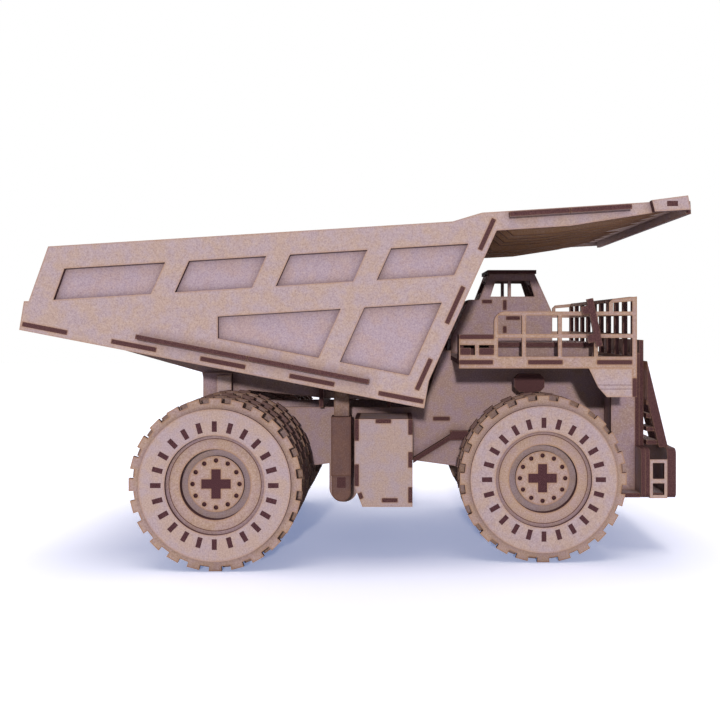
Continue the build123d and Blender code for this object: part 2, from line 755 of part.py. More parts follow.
with BuildPart() as cab_side_plates:
    for plate_y in (cab_near_y, cab_near_y + cab_width - sheet):
        cab_face = outline(side(plate_y + sheet), cab_profile, cab_rear_window, cab_front_window, *cab_slots)
        extrude(cab_face, amount=sheet)
save(cab_side_plates, "cab_side_plates")

cab_in_low = cab_near_y + sheet
cab_in_high = cab_near_y + cab_width - sheet
cab_out_low, cab_out_high = cab_near_y, cab_near_y + cab_width
with BuildPart() as cab_end_plates:
    block(cab_front_x - sheet, cab_front_x, cab_in_low, cab_in_high, deck_top_z, cab_sill_z - 4)
    block(cab_screen_x, cab_screen_x + sheet, cab_in_low, cab_in_high, cab_floor_z + sheet, window_low_z - 1)
    block(cab_screen_x, cab_screen_x + sheet, cab_in_low, cab_in_high, deck_top_z, cab_floor_z)
    for tab_z in (cab_screen_tab, cab_foot_tab):
        block(cab_screen_x, cab_screen_x + sheet, cab_out_low, cab_out_high, *tab_z)
save(cab_end_plates, "cab_end_plates")

with BuildPart() as cab_roof:
    roof_x = (cab_roof_rear_x - roof_lap, cab_roof_front_x + roof_lap)
    block(*roof_x, cab_out_low - roof_lap, cab_out_high + roof_lap, cab_roof_z, cab_roof_z + sheet)
    block(cab_rear_x + sheet, cab_front_x - sheet, cab_in_low, cab_in_high, cab_floor_z, cab_floor_z + sheet)
    block(*cab_floor_tab, cab_out_low, cab_out_high, cab_floor_z, cab_floor_z + sheet)
save(cab_roof, "cab_roof")


def leaning_frame(low_x, low_z, high_x, high_z, rib):
    """Cab frame between the side plates, with a window in it, whose outer face joins two points."""
    length = ((high_x - low_x) ** 2 + (high_z - low_z) ** 2) ** 0.5
    plane = Plane(
        origin=(low_x, cab_in_low, low_z),
        x_dir=(0, 1, 0),
        z_dir=(high_z - low_z, 0, low_x - high_x),
    )
    width = cab_in_high - cab_in_low
    hole = box_loop(rib, width - rib, rib, length - rib)
    return outline(plane, box_loop(0, width, 0, length), hole)


with BuildPart() as cab_leaning_frames:
    extrude(leaning_frame(cab_front_x - 0.6, cab_sill_z, cab_roof_front_x, cab_roof_z, 7.0), amount=-sheet)
    extrude(leaning_frame(cab_rear_x + 12.6, cabinet_high_z, cab_roof_rear_x, cab_roof_z, 6.0), amount=sheet)
    block(cabinet_head_x, cabinet_tab[1], cab_in_low, cab_in_high, cabinet_high_z - sheet, cabinet_high_z)
    block(*cabinet_tab, cab_out_low, cab_out_high, cabinet_high_z - sheet, cabinet_high_z)
    block(cabinet_foot_x, cabinet_foot_x + sheet, cab_in_low, cab_in_high, deck_top_z, cabinet_kink_z)
    cabinet_kink = (cabinet_foot_x, cabinet_kink_z)
    cabinet_wall = along(cabinet_kink, front_angle, 0, cabinet_length - sheet, -sheet, 0)
    extrude(outline(side(cab_in_high), cabinet_wall), amount=cab_in_high - cab_in_low)
save(cab_leaning_frames, "cab_leaning_frames")

# Radiator housing under the front of the deck, and the grille in front of it
housing_rear_x = grille_x - 16.8
housing_in = housing_half_width - sheet
with BuildPart() as housing_side_panels:
    block(housing_rear_x, grille_x, -housing_half_width, -housing_in, bumper_base_z + sheet, deck_z)
    both_sides()
save(housing_side_panels, "housing_side_panels")

with BuildPart() as housing_rear_walls:
    wall_x = (housing_rear_x, housing_rear_x + sheet)
    block(*wall_x, -housing_in, -chassis_half_width, bumper_base_z + sheet, deck_z)
    both_sides()
save(housing_rear_walls, "housing_rear_walls")

guard_half_width = 75.0
guard_high_z = 72.0
guard_corner = 4.0
grille_high_z = 146.0
grille_bar = 4.0
grille_bar_pitch = 11.0
grille_window_low_z = guard_high_z + 6
grille_window_high_z = deck_z - 6
grille_bars = int(2 * (housing_in - grille_bar) / grille_bar_pitch)
guard_height = guard_high_z - bumper_base_z
grille_backing_high_z = deck_z + 6.0
with BuildPart() as grille_backing:
    with BuildSketch(across(grille_x)):
        add(faces([box_loop(-housing_half_width, housing_half_width, guard_high_z, grille_backing_high_z)]))
        with Locations((0, bumper_base_z + guard_height / 2)):
            RectangleRounded(2 * guard_half_width, guard_height, guard_corner)
    extrude(amount=sheet)
save(grille_backing, "grille_backing")

with BuildPart() as grille_front:
    with BuildSketch(across(grille_x + sheet)):
        add(faces([box_loop(-housing_half_width, housing_half_width, guard_high_z, grille_high_z)]))
        with Locations((0, bumper_base_z + guard_height / 2)):
            RectangleRounded(2 * guard_half_width, guard_height, guard_corner)
        slot_width = grille_bar_pitch - grille_bar
        slot_height = grille_window_high_z - grille_window_low_z
        with Locations((0, grille_window_low_z + slot_height / 2)):
            with GridLocations(grille_bar_pitch, 1, grille_bars, 1):
                Rectangle(slot_width, slot_height, mode=Mode.SUBTRACT)
    extrude(amount=sheet)
save(grille_front, "grille_front")

# Bumper platform with its guards
platform_rear_x = grille_x + 2 * sheet
platform_front_x = platform_rear_x + 11.9
guard_thickness = 2 * sheet
bumper_side_high_z = 64.5
bumper_post = 2.0
bumper_windows = [
    (bumper_base_z + 2.2, bumper_base_z + 10.2),
    (bumper_base_z + 13.2, bumper_side_high_z - 2.4),
]
with BuildPart() as bumper_base:
    through(
        box_loop(platform_rear_x, platform_front_x, bumper_base_z, bumper_base_z + sheet),
        guard_half_width - sheet,
    )
    wing_rear_x = grille_x - 12.0
    wing_out_y = guard_half_width - sheet
    block(wing_rear_x, grille_x, chassis_half_width, wing_out_y, bumper_base_z, bumper_base_z + sheet)
    block(wing_rear_x, grille_x, -wing_out_y, -chassis_half_width, bumper_base_z, bumper_base_z + sheet)
save(bumper_base, "bumper_base")

with BuildPart() as bumper_sides:
    extrude(
        outline(
            side(sheet - guard_half_width),
            box_loop(platform_rear_x, platform_front_x, bumper_base_z, bumper_side_high_z),
            *[
                box_loop(platform_rear_x + bumper_post, platform_front_x - bumper_post, low_z, high_z)
                for low_z, high_z in bumper_windows
            ],
        ),
        amount=sheet,
    )
    both_sides()
save(bumper_sides, "bumper_sides")

with BuildPart() as bumper_guard:
    with BuildSketch(across(platform_front_x)):
        with Locations((0, bumper_base_z + guard_height / 2)):
            RectangleRounded(2 * guard_half_width, guard_height, guard_corner)
    extrude(amount=guard_thickness)
save(bumper_guard, "bumper_guard")

# Two ladders lean from the bumper guard against the grille; level treads join them to it
ladder_out_y = 68.0
ladder_width = 24.0
ladder_bar = 4.0
ladder_top_z = 131.5
ladder_reach = 14.4                        # run of each ladder's front face, from the grille to the guard
ladder_openings = [(91.0, 103.7), (76.0, 86.0)]
ladder_tread_places = [73.7, 82.9, 92.1, 101.3]
ladder_slope = ladder_reach / (ladder_top_z - guard_high_z)
ladder_run = 2 * sheet * (1 + ladder_slope ** 2) ** 0.5  # level run through the two leaning sheets


def ladder_face(z, depth):
    """Point at a height on the ladder's front face, or this level run behind it."""
    return platform_rear_x + (ladder_top_z - z) * ladder_slope - depth, z


ladder_profile = [
    ladder_face(ladder_top_z, 0),
    ladder_face(guard_high_z, 0),
    ladder_face(guard_high_z, ladder_run),
    ladder_face(ladder_top_z - ladder_run / ladder_slope, ladder_run),
]
ladder_in_y = ladder_out_y - ladder_width
with BuildPart() as ladder_stringers:
    extrude(outline(side(-ladder_in_y), ladder_profile), amount=ladder_width)
    for low_z, high_z in ladder_openings:
        opening_y = (ladder_bar - ladder_out_y, -ladder_in_y - ladder_bar)
        cut_block(platform_rear_x, platform_rear_x + ladder_reach, *opening_y, low_z, high_z)
    both_sides()
save(ladder_stringers, "ladder_stringers")

with BuildPart() as ladder_treads:
    for tread_z in ladder_tread_places:
        tread = [
            (platform_rear_x, tread_z),
            ladder_face(tread_z, ladder_run),
            ladder_face(tread_z + sheet, ladder_run),
            (platform_rear_x, tread_z + sheet),
        ]
        extrude(outline(side(-ladder_in_y - ladder_bar / 2), tread), amount=ladder_width - ladder_bar)
    both_sides()
save(ladder_treads, "ladder_treads")


# Bed: two-layer sides, a floor, a front wall and a canopy over the cab
frame_in = bed_half_width - sheet          # outer frame over an inner skin
skin_in = frame_in - sheet
keel_angle = degrees(atan2(bed_front_z - bed_rear_z, bed_front_x - bed_rear_x))
keel_length = ((bed_front_x - bed_rear_x) ** 2 + (bed_front_z - bed_rear_z) ** 2) ** 0.5
bed_rear_corner = (bed_rear_x, bed_rear_z)
front_foot = (bed_front_x + 3.0, bed_front_z + 17.3)
tail_step_z = bed_rear_z + 18.0
tail_step_x = bed_top_rear_x - (bed_top_rear_z - tail_step_z) / tan(radians(tail_angle))
front_head_z = 215.6
front_head = (front_foot[0] + (front_head_z - front_foot[1]) / tan(radians(front_angle)), front_head_z)
top_kink = on_line(rail_line(0), front_head[0] - 27.6)
canopy_root = (front_head[0] - 9.2, front_head_z + 11.2)
canopy_length = 97.2
canopy_angle = 3.6
canopy_drop = 2.5                          # top edge of the fascia to the middle of the canopy sheet
fascia_tip_x = front_head[0] + canopy_length
fascia_tip_z = canopy_root[1] + (fascia_tip_x - canopy_root[0]) * tan(radians(canopy_angle))
canopy_end_x = fascia_tip_x + 21.0
floor_height = 4.0                         # lower edge of the side to the middle of the floor
wall_inset = 4.5                           # front edge of the side to the middle of the front wall

bed_lower_profile = [
    (bed_top_rear_x, bed_top_rear_z),
    (tail_step_x, tail_step_z),
    (tail_step_x - 3.0, tail_step_z),
    bed_rear_corner,
    (bed_front_x, bed_front_z),
    front_foot,
    front_head,
]
bed_profile = bed_lower_profile + [
    (front_head[0] + 45.9, front_head_z + 2.9),
    (fascia_tip_x, fascia_tip_z - 6.9),
    (fascia_tip_x, fascia_tip_z),
    canopy_root,
    top_kink,
]

# Windows of the side frame lie between lines parallel to the top rail and the lower edge
window_width = 46.9
window_gap = 14.5
front_stile = 14.0
rear_stile = 15.1
upper_window_count = 4
upper_low, upper_high = rail_line(33.6), rail_line(14.5)
lower_high, lower_low = rail_line(50.4), keel_line(18.8)
rear_lower_width = 76.7


def leaning_window(low, high, rear_shift, front_shift):
    """Window whose sides lean like the bed's front, this far behind its front edge."""
    front_x, rear_x = front_foot[0] - front_shift, front_foot[0] - rear_shift
    return [
        crossing(low, rear_x, front_foot[1], front_angle),
        crossing(low, front_x, front_foot[1], front_angle),
        crossing(high, front_x, front_foot[1], front_angle),
        crossing(high, rear_x, front_foot[1], front_angle),
    ]


side_windows = []
for index in range(upper_window_count - 1):
    near = front_stile + index * (window_width + window_gap)
    side_windows.append(leaning_window(upper_low, upper_high, near + window_width, near))
last = front_stile + (upper_window_count - 1) * (window_width + window_gap)
rear_x = bed_top_rear_x + rear_stile
first_window = leaning_window(upper_low, upper_high, last, last)
side_windows.append([
    crossing(upper_low, rear_x, bed_top_rear_z, tail_angle),
    first_window[1],
    first_window[2],
    crossing(upper_high, rear_x, bed_top_rear_z, tail_angle),
])
side_windows.append(leaning_window(lower_low, lower_high, front_stile + window_width, front_stile))
near = front_stile + window_width + window_gap
rear_lower = leaning_window(lower_low, lower_high, near, near)
rear_lower_x = rear_lower[2][0] - rear_lower_width
side_windows.append([
    on_line(lower_low, rear_lower_x),
    rear_lower[1],
    rear_lower[2],
    on_line(lower_high, rear_lower_x),
])

floor_tab = 28.8
floor_tab_first = 1.1
floor_tab_count = 5
floor_tab_pitch = (keel_length - 2 * floor_tab_first - floor_tab) / (floor_tab_count - 1)
floor_tabs = [
    along(
        bed_rear_corner,
        keel_angle,
        floor_tab_first + index * floor_tab_pitch,
        floor_tab_first + index * floor_tab_pitch + floor_tab,
        floor_height - sheet / 2,
        floor_height + sheet / 2,
    )
    for index in range(floor_tab_count)
]
wall_tab_runs = [(-8.5, 13.0), (37.0, 62.5), (87.5, 109.0)]
wall_tabs = [
    along(front_foot, front_angle, low_run, high_run, wall_inset - sheet / 2, wall_inset + sheet / 2)
    for low_run, high_run in wall_tab_runs
]

# A block stands out from the outer face of each frame at the canopy's front corner
tip_rear_x = fascia_tip_x - 1.7
tip_profile = [
    (tip_rear_x, fascia_tip_z + 0.4),
    (tip_rear_x + 1.8, fascia_tip_z - 6.7),
    (tip_rear_x + 24.1, fascia_tip_z - 5.5),
    (tip_rear_x + 22.3, fascia_tip_z + 3.3),
]
with BuildPart() as bed_side_frames:
    extrude(outline(side(-frame_in), bed_profile, *side_windows, *floor_tabs, *wall_tabs), amount=sheet)
    extrude(outline(side(-bed_half_width), tip_profile), amount=2 * sheet)
    both_sides()
save(bed_side_frames, "bed_side_frames")

with BuildPart() as bed_side_skins:
    extrude(outline(side(-skin_in), bed_lower_profile, *floor_tabs, *wall_tabs), amount=sheet)
    both_sides()
save(bed_side_skins, "bed_side_skins")

with BuildPart() as bed_floor:
    floor_length = keel_length - floor_tab_first
    floor_low, floor_high = floor_height - sheet / 2, floor_height + sheet / 2
    through(along(bed_rear_corner, keel_angle, 0, floor_length, floor_low, floor_high), skin_in)
    for tab in floor_tabs:
        through(tab, bed_half_width)
save(bed_floor, "bed_floor")

# The front wall stands on the floor's front edge and ends under the canopy sheet
wall_start_run = -12.0
wall_end_run = (front_head_z - front_foot[1]) / sin(radians(front_angle)) + 4.0
with BuildPart() as bed_front_wall:
    wall_low, wall_high = wall_inset - sheet / 2, wall_inset + sheet / 2
    through(along(front_foot, front_angle, wall_start_run, wall_end_run, wall_low, wall_high), skin_in)
    for tab in wall_tabs:
        through(tab, bed_half_width)
save(bed_front_wall, "bed_front_wall")

canopy_start_run = 8.0
canopy_end_run = canopy_end_x - canopy_root[0]
sheet_low, sheet_high = -canopy_drop - sheet / 2, -canopy_drop + sheet / 2


def on_canopy(start_run, end_run, low, high):
    """Rectangle laid along the canopy, between runs from its root and heights off its top edge."""
    return along(canopy_root, canopy_angle, start_run, end_run, low, high)


with BuildPart() as canopy_sheet:
    through(on_canopy(canopy_start_run, canopy_end_run, sheet_low, sheet_high), frame_in)
save(canopy_sheet, "canopy_sheet")

# Ribs under the canopy deepen towards the bed
rib_places = [26.0, 52.0, 78.0, 104.0]
rib_start_run = canopy_start_run + 4.0
rib_end_run = canopy_end_run - 4.0
rib_depths = [
    (rib_start_run + 10.1, 9.6),
    (rib_start_run + 36.1, 9.8),
    (rib_start_run + 75.1, 6.3),
    (rib_end_run - 2.0, 0.3),
]
with BuildPart() as canopy_ribs:
    rib_edge = on_canopy(rib_start_run, rib_end_run, 0, sheet_low)
    rib_profile = [rib_edge[3]]
    for rib_run, rib_depth in rib_depths:
        rib_profile.append(on_canopy(0, rib_run, 0, sheet_low - rib_depth)[2])
    rib_profile.append(rib_edge[2])
    for rib_y in rib_places:
        extrude(outline(side(-rib_y), rib_profile), amount=sheet)
    both_sides()
save(canopy_ribs, "canopy_ribs")

# A cross plate closes the canopy's front edge
with BuildPart() as canopy_nose:
    nose_drop = 5.0
    nose = on_canopy(canopy_end_run, canopy_end_run + sheet, sheet_low - nose_drop, sheet_high)
    through(nose, bed_half_width)
save(canopy_nose, "canopy_nose")

# Trim on the outer face of each side: fins along its lower edge and along its canopy
fin_depth = 5.0
fin_height = 10.0
fin_breaks = [73.2, 143.9, 220.9]          # along the lower edge, from its rear end
canopy_fin_breaks = [16.5, 54.5, 92.8]
fin_joint = 0.15
fin_low, fin_high = fin_height - sheet / 2, fin_height + sheet / 2
with BuildPart() as bed_side_trim:
    for start_run, end_run in zip(fin_breaks[:-1], fin_breaks[1:]):
        start_run, end_run = start_run + fin_joint, end_run - fin_joint
        fin = along(bed_rear_corner, keel_angle, start_run, end_run, fin_low, fin_high)
        extrude(outline(side(-bed_half_width), fin), amount=fin_depth)
    for start_run, end_run in zip(canopy_fin_breaks[:-1], canopy_fin_breaks[1:]):
        fin = on_canopy(start_run + fin_joint, end_run - fin_joint, sheet_low, sheet_high)
        extrude(outline(side(-bed_half_width), fin), amount=fin_depth)
    both_sides()
save(bed_side_trim, "bed_side_trim")

# Two keel beams under the floor hang on the rear pivot; two bearers rest above the chassis
beam_out = side_in - side_play
beam_in = beam_out - sheet
ear_radius = 8.0
floor_under = keel_line((floor_height - sheet / 2) / cos(radians(keel_angle)))
beam_rear_x = bed_rear_x + 29.2
beam_front_x = bed_front_x - 7.0
bearer_places = [rear_axle_x + 60.0, bed_front_x - 24.0]
bearer_half_width = 45.0
rest_z = rail_top_z + stop_gap
beam_profile = [
    on_line(floor_under, beam_rear_x),
    (beam_rear_x, floor_under[0] * beam_rear_x + floor_under[1] - 10.0),
    (pivot_x - 12.0, pivot_z + 20.0),
    (pivot_x - ear_radius, pivot_z),
    (pivot_x + ear_radius, pivot_z),
    (pivot_x + ear_radius + 14.0, rail_top_z + 12.0),
    (bearer_places[0], rest_z + 6),
    (beam_front_x, rest_z + 3),
    on_line(floor_under, beam_front_x),
]
with BuildPart() as bed_keel_beams:
    with BuildSketch(side(-beam_in)):
        with BuildLine():
            Polyline(*beam_profile, close=True)
        make_face()
        with Locations((pivot_x, pivot_z)):
            Circle(ear_radius)
            Circle(pivot_radius, mode=Mode.SUBTRACT)
    extrude(amount=sheet)
    both_sides()
save(bed_keel_beams, "bed_keel_beams")

with BuildPart() as bed_bearers:
    for bearer_x in bearer_places:
        bearer_profile = [
            (bearer_x, rest_z),
            (bearer_x + sheet, rest_z),
            on_line(floor_under, bearer_x + sheet),
            on_line(floor_under, bearer_x),
        ]
        through(bearer_profile, bearer_half_width)
    for low_y in (-beam_out, beam_in):
        extrude(outline(side(low_y + sheet), beam_profile), amount=sheet, mode=Mode.SUBTRACT)
save(bed_bearers, "bed_bearers")

with BuildPart() as bed_pivot_pin:
    with BuildSketch(side(-chassis_half_width - sheet)):
        with Locations((pivot_x, pivot_z)):
            Circle(pivot_radius)
    extrude(amount=-2 * (chassis_half_width + sheet))
save(bed_pivot_pin, "bed_pivot_pin")

# Hoists: a flat tube on each side of the chassis, a sleeve in it and a rod in that
eye_x = hoist_x
eye_z = pivot_z + 8.0
strap_width = 10.6
slip_gap = 0.1
tube_wall = sheet / 2                      # edge walls of the tube
tube_width = strap_width + 2 * (tube_wall + slip_gap)
tube_low_z = hoist_z + 5.0
tube_high_z = hoist_z + 46.0
tube_foot_radius = 6.6
tube_foot_z = hoist_z - 6.6
strap_y = hoist_y                           # middle of the rod
sleeve_in = sheet / 2 + slip_gap            # distances from the rod's middle
sleeve_out = sleeve_in + sheet
tube_in = sleeve_out + slip_gap
tube_out = tube_in + sheet
sleeve_low_z = tube_low_z + sheet + 0.5
rod_foot_z = sleeve_low_z + sheet + 1.0
eye_radius = strap_width / 2
eye_hole_radius = 3.7
eye_pin_radius = 1.75
eye_ear_radius = 4.5
eye_ear_gap = 0.6


def strap(low_z, high_z, width):
    """Upright rectangle on the hoist's centre line, in the side view."""
    return box_loop(hoist_x - width / 2, hoist_x + width / 2, low_z, high_z)


for hand, sign in (("right", -1), ("left", 1)):
    with BuildPart() as hoist_tube:
        for wall_y in (-strap_y + tube_out, -strap_y - tube_in):
            extrude(outline(side(wall_y), strap(tube_low_z, tube_high_z, tube_width)), amount=sheet)
        tube_slot = strap(tube_low_z + sheet, tube_high_z, strap_width + 2 * slip_gap)
        extrude(
            outline(side(-strap_y + tube_in), strap(tube_low_z, tube_high_z, tube_width), tube_slot),
            amount=2 * tube_in,
        )
        with BuildSketch(side(-strap_y + tube_in)):
            with BuildLine():
                Polyline(*strap(tube_foot_z, tube_low_z, 2 * tube_foot_radius), close=True)
            make_face()
            with Locations((hoist_x, tube_foot_z)):
                Circle(tube_foot_radius)
        extrude(amount=2 * tube_in)
        with BuildSketch(side(-chassis_half_width + 2 * sheet)):
            with Locations((hoist_x, hoist_z)):
                Rectangle(hoist_pin_width, hoist_pin_height)
        extrude(amount=strap_y + tube_in - chassis_half_width + 2 * sheet)
        if sign > 0:
            mirror(about=Plane.XZ, mode=Mode.REPLACE)
    save(hoist_tube, f"hoist_tube_{hand}")

    with BuildPart() as hoist_sleeve:
        for wall_y in (-strap_y + sleeve_out, -strap_y - sleeve_in):
            extrude(outline(side(wall_y), strap(sleeve_low_z, tube_high_z, strap_width)), amount=sheet)
        foot = strap(sleeve_low_z, sleeve_low_z + sheet, strap_width)
        extrude(outline(side(-strap_y + sleeve_in), foot), amount=2 * sleeve_in)
        if sign > 0:
            mirror(about=Plane.XZ, mode=Mode.REPLACE)
    save(hoist_sleeve, f"hoist_sleeve_{hand}")

    with BuildPart() as hoist_rod:
        with BuildSketch(side(-strap_y + sheet / 2)):
            with BuildLine():
                Polyline(*strap(rod_foot_z, eye_z, strap_width), close=True)
            make_face()
            with Locations((eye_x, eye_z)):
                Circle(eye_radius)
                Circle(eye_hole_radius, mode=Mode.SUBTRACT)
        extrude(amount=sheet)
        if sign > 0:
            mirror(about=Plane.XZ, mode=Mode.REPLACE)
    save(hoist_rod, f"hoist_rod_{hand}")

# Forks under the bed that take the rods' eyes
with BuildPart() as hoist_forks:
    fork_high_rear = on_line(floor_under, eye_x - eye_ear_radius)
    fork_high_front = on_line(floor_under, eye_x + eye_ear_radius)
    fork_low_rear, fork_low_front = (eye_x - eye_ear_radius, eye_z), (eye_x + eye_ear_radius, eye_z)
    fork_profile = [fork_low_rear, fork_low_front, fork_high_front, fork_high_rear]
    ear_in = sheet / 2 + eye_ear_gap
    for wall_y in (-strap_y + ear_in + sheet, -strap_y - ear_in):
        with BuildSketch(side(wall_y)):
            with BuildLine():
                Polyline(*fork_profile, close=True)
            make_face()
            with Locations((eye_x, eye_z)):
                Circle(eye_ear_radius)
        extrude(amount=sheet)
    with BuildSketch(side(-strap_y + ear_in)):
        with Locations((eye_x, eye_z)):
            Circle(eye_pin_radius)
    extrude(amount=2 * ear_in)
    both_sides()
save(hoist_forks, "hoist_forks")
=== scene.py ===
import math

import bpy
from mathutils import Matrix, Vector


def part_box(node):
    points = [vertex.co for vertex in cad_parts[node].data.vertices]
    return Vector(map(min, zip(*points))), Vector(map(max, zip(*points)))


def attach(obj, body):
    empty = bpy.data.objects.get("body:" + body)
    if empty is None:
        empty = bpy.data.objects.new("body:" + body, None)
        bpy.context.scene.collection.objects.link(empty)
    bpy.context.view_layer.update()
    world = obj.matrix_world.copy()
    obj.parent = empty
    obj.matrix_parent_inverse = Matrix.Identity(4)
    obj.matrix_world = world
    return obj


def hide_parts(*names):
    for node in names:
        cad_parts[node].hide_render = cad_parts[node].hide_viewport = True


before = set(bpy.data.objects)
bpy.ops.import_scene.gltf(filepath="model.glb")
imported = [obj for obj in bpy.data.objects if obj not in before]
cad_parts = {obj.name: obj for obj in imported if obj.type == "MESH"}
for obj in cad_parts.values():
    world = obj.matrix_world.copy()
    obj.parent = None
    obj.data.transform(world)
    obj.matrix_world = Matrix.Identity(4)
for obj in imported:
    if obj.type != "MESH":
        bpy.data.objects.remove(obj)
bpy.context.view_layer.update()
print("frame loaded:", len(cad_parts), "parts")

mm = 0.001
alongTruck, acrossTruck, upright = (1, 0, 0), (0, 1, 0), (0, 0, 1)


def linear(hexColour):
    # sRGB hex, as picked from a swatch, to the linear values a shader works in
    channels = [int(hexColour[i:i + 2], 16) / 255 for i in (1, 3, 5)]
    return [c / 12.92 if c <= 0.04045 else ((c + 0.055) / 1.055) ** 2.4 for c in channels] + [1]


def addNode(tree, kind, settings=None, links=None):
    # settings are sockets or properties; new nodes line up in columns of four
    column, row = divmod(len(tree.nodes), 4)
    node = tree.nodes.new(kind)
    node.location = (220 * column, -280 * row)
    for name, value in (settings or {}).items():
        if isinstance(name, int) or name in node.inputs:
            node.inputs[name].default_value = value
        else:
            setattr(node, name, value)
    for socket, source in (links or {}).items():
        tree.links.new(source, node.inputs[socket])
    return node


def newMaterial(name):
    material = bpy.data.materials.new(name)
    material.use_nodes = True
    tree = material.node_tree
    tree.nodes.clear()
    return material, tree


def rising(start, end, most=1.0):
    # settings of a Map Range: 0 at the start, the most at the end
    return {"From Min": start, "From Max": end, "To Max": most}


# Laser-cut MDF: pale fibre board on the sheet's faces, scorched brown where the laser went through.
# Its flecks are drawn at about a millimetre, coarser than real fibres, so that they show.
# A pair is where an effect starts and where it is full; how strong that is comes from the tone.
mdf = {
    "cloud": {"Scale": 1 / (11 * mm), "Detail": 3.0},
    "patch": {"Scale": 1 / (3.5 * mm), "Detail": 4.0, "Roughness": 0.7},
    "fibre": {"Scale": 1 / (0.9 * mm), "Detail": 4.0, "Roughness": 0.75},
    "scorchLines": {"Scale": 1 / (0.35 * mm), "Detail": 2.0},
    "patchShare": 0.45,  # how much the patches count beside the clouds
    "coolToWarm": rising(0.6, 0.84),
    "darkFibres": rising(0.5, 0.75, 0.7),
    "lightFibres": (0.48, 0.28),
    "lightFibre": "#d8cbc8",
    "smokeReach": 1.5 * mm,
    "smokeUneven": 0.3,
    "smoke": (0.97, 0.6),
    # painted shade in corners: how far the darkening reaches, and how it grows
    "cornerShadeReach": 7.0 * mm,
    "cornerShade": rising(0.95, 0.35, 0.55),
    # colour of the painted shade, in corners and behind a tyre's first ring
    "paintedShade": "#5c4446",
    "bandShadeShare": 0.8,
    "burnt": ["#382228", "#543639", "#745352"],
    "burntStops": [0.32, 0.52, 0.72],
    "edgeRim": "#94745f",
    "rim": (0.62, 0.48),
    "cutEdge": rising(0.97, 0.94),  # cosine between a face and its sheet
    "surface": {"Roughness": 0.78, "Specular IOR Level": 0.2},
    "relief": {"Strength": 0.4, "Distance": 0.1 * mm},
}

# Each tone: lavender and tan ends of the board's colour, its dark fibres, the smoke beside a cut
# and how strong it is. What a tone leaves out is as in the usual one.
usualTone = {"lightFibres": 0.55, "rim": 0.5, "edge": mdf["burnt"]}
tones = {
    "plain": {"cool": "#b7a6af", "warm": "#bca69f", "fleck": "#846d70", "smoke": "#ae8768",
              "stain": 0.45},
    "inner": {"cool": "#b5a4b4", "warm": "#baa4a9", "fleck": "#83707a", "smoke": "#a38879",
              "stain": 0.35},
    "smoked": {"cool": "#b29a99", "warm": "#b69c8d", "fleck": "#7b6159", "smoke": "#a37c5b",
               "stain": 0.6},
    # The next three tones are darker copies of the same board: painted shade for boards that sit in
    # shade.
    "dullShade": {"cool": "#a58f9a", "warm": "#a9908a", "fleck": "#77646b", "smoke": "#957562",
             "stain": 0.5},
    "umberShade": {"cool": "#8f7a7a", "warm": "#93796b", "fleck": "#6f5957", "smoke": "#7d5f4a",
              "stain": 0.6, "lightFibres": 0.35},
    "brown": {"cool": "#6f5655", "warm": "#7a5d55", "fleck": "#5d4544", "smoke": "#5f4238",
              "stain": 0.7, "lightFibres": 0.12},
    # warmer and a little darker than the plain board
    "warmTan": {"cool": "#b3937f", "warm": "#b59072", "fleck": "#7f6250", "smoke": "#9a7250",
                "stain": 0.6, "lightFibres": 0.35},
    "charred": {"cool": "#5a3a36", "warm": "#5a3a36", "fleck": "#3c2325", "smoke": "#3c2325",
                "stain": 0.5, "rim": 0.0, "edge": ["#321c22", "#4c2c33", "#64444a"]},
}


def cutEdges(tree, place, plateAxes):
    # 0 on the sheet's own faces, 1 on its cut edges
    facing = None
    for axis in plateAxes:
        dot = addNode(tree, "ShaderNodeVectorMath", {"operation": "DOT_PRODUCT", 1: axis},
                      {0: place.outputs["Normal"]})
        size = addNode(tree, "ShaderNodeMath", {"operation": "ABSOLUTE"},
                       {0: dot.outputs["Value"]}).outputs[0]
        facing = size if facing is None else addNode(
            tree, "ShaderNodeMath", {"operation": "MAXIMUM"}, {0: facing, 1: size}).outputs[0]
    cut = addNode(tree, "ShaderNodeMapRange", mdf["cutEdge"], {"Value": facing})
    return cut.outputs["Result"]


def inSpan(tree, distance, low, high):
    # 1 where the distance is from low to high, in mm
    inside = addNode(tree, "ShaderNodeMath",
                     {"operation": "COMPARE", 1: (low + high) / 2 * mm, 2: (high - low) / 2 * mm},
                     {0: distance})
    return inside.outputs[0]


def burntBoxes(tree, place, boxes):
    # 1 inside any of the boxes, given as low and high X, then low and high Z
    apart = addNode(tree, "ShaderNodeSeparateXYZ", links={0: place.outputs["Object"]})
    total = None
    for lowX, highX, lowZ, highZ in boxes:
        along = inSpan(tree, apart.outputs["X"], lowX, highX)
        up = inSpan(tree, apart.outputs["Z"], lowZ, highZ)
        both = addNode(tree, "ShaderNodeMath", {"operation": "MULTIPLY"},
                       {0: along, 1: up}).outputs[0]
        total = both if total is None else addNode(
            tree, "ShaderNodeMath", {"operation": "MAXIMUM"}, {0: total, 1: both}).outputs[0]
    return total


def shadeBand(tree, place, span):
    # how much painted shade the board takes, from its distance to the truck's middle plane
    apart = addNode(tree, "ShaderNodeSeparateXYZ", links={0: place.outputs["Object"]})
    away = addNode(tree, "ShaderNodeMath", {"operation": "ABSOLUTE"}, {0: apart.outputs["Y"]})
    band = addNode(tree, "ShaderNodeMath", {"operation": "MULTIPLY", 1: mdf["bandShadeShare"]},
                   {0: inSpan(tree, away.outputs[0], *span)})
    return band.outputs[0]


